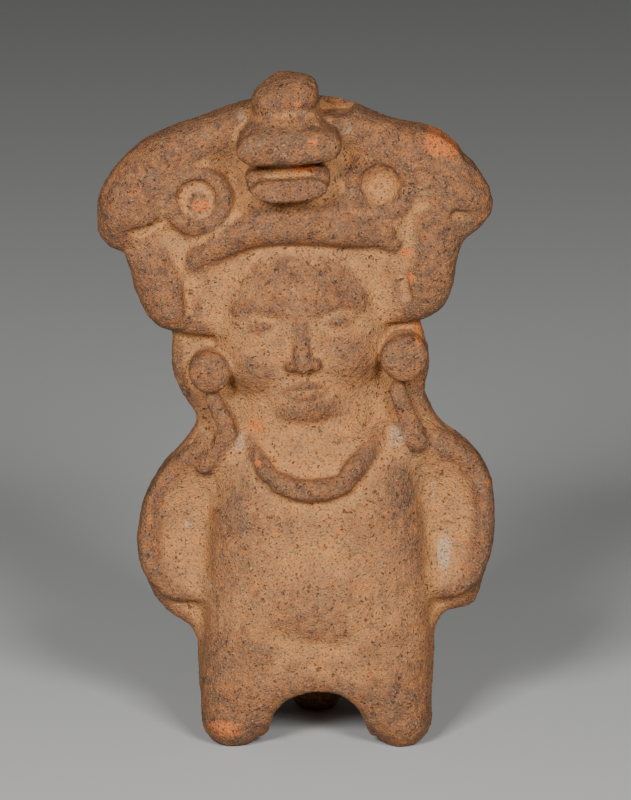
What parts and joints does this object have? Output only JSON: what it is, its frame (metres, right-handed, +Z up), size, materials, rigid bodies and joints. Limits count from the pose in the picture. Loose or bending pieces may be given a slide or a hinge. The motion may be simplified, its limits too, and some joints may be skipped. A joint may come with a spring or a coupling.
{
  "type": "zapotec whistle figurine",
  "caption": "Fired clay whistle shaped as a standing figure in a wide animal headdress, with a hollow sound chamber and mouthpiece behind.",
  "frame": {"origin": "centre of the bounding box, on the ground under the feet", "axes": "+Z up; the figure faces -Y; +X is to the right of someone who looks at its face"},
  "size_m": [0.0997, 0.0593, 0.1715],
  "materials": {
    "fired_clay": "matte, worn, unglazed red-brown earthenware"
  },
  "bodies": {
    "root": {"figure": "fired_clay", "whistle_chamber": "fired_clay"}
  },
  "joints": []
}
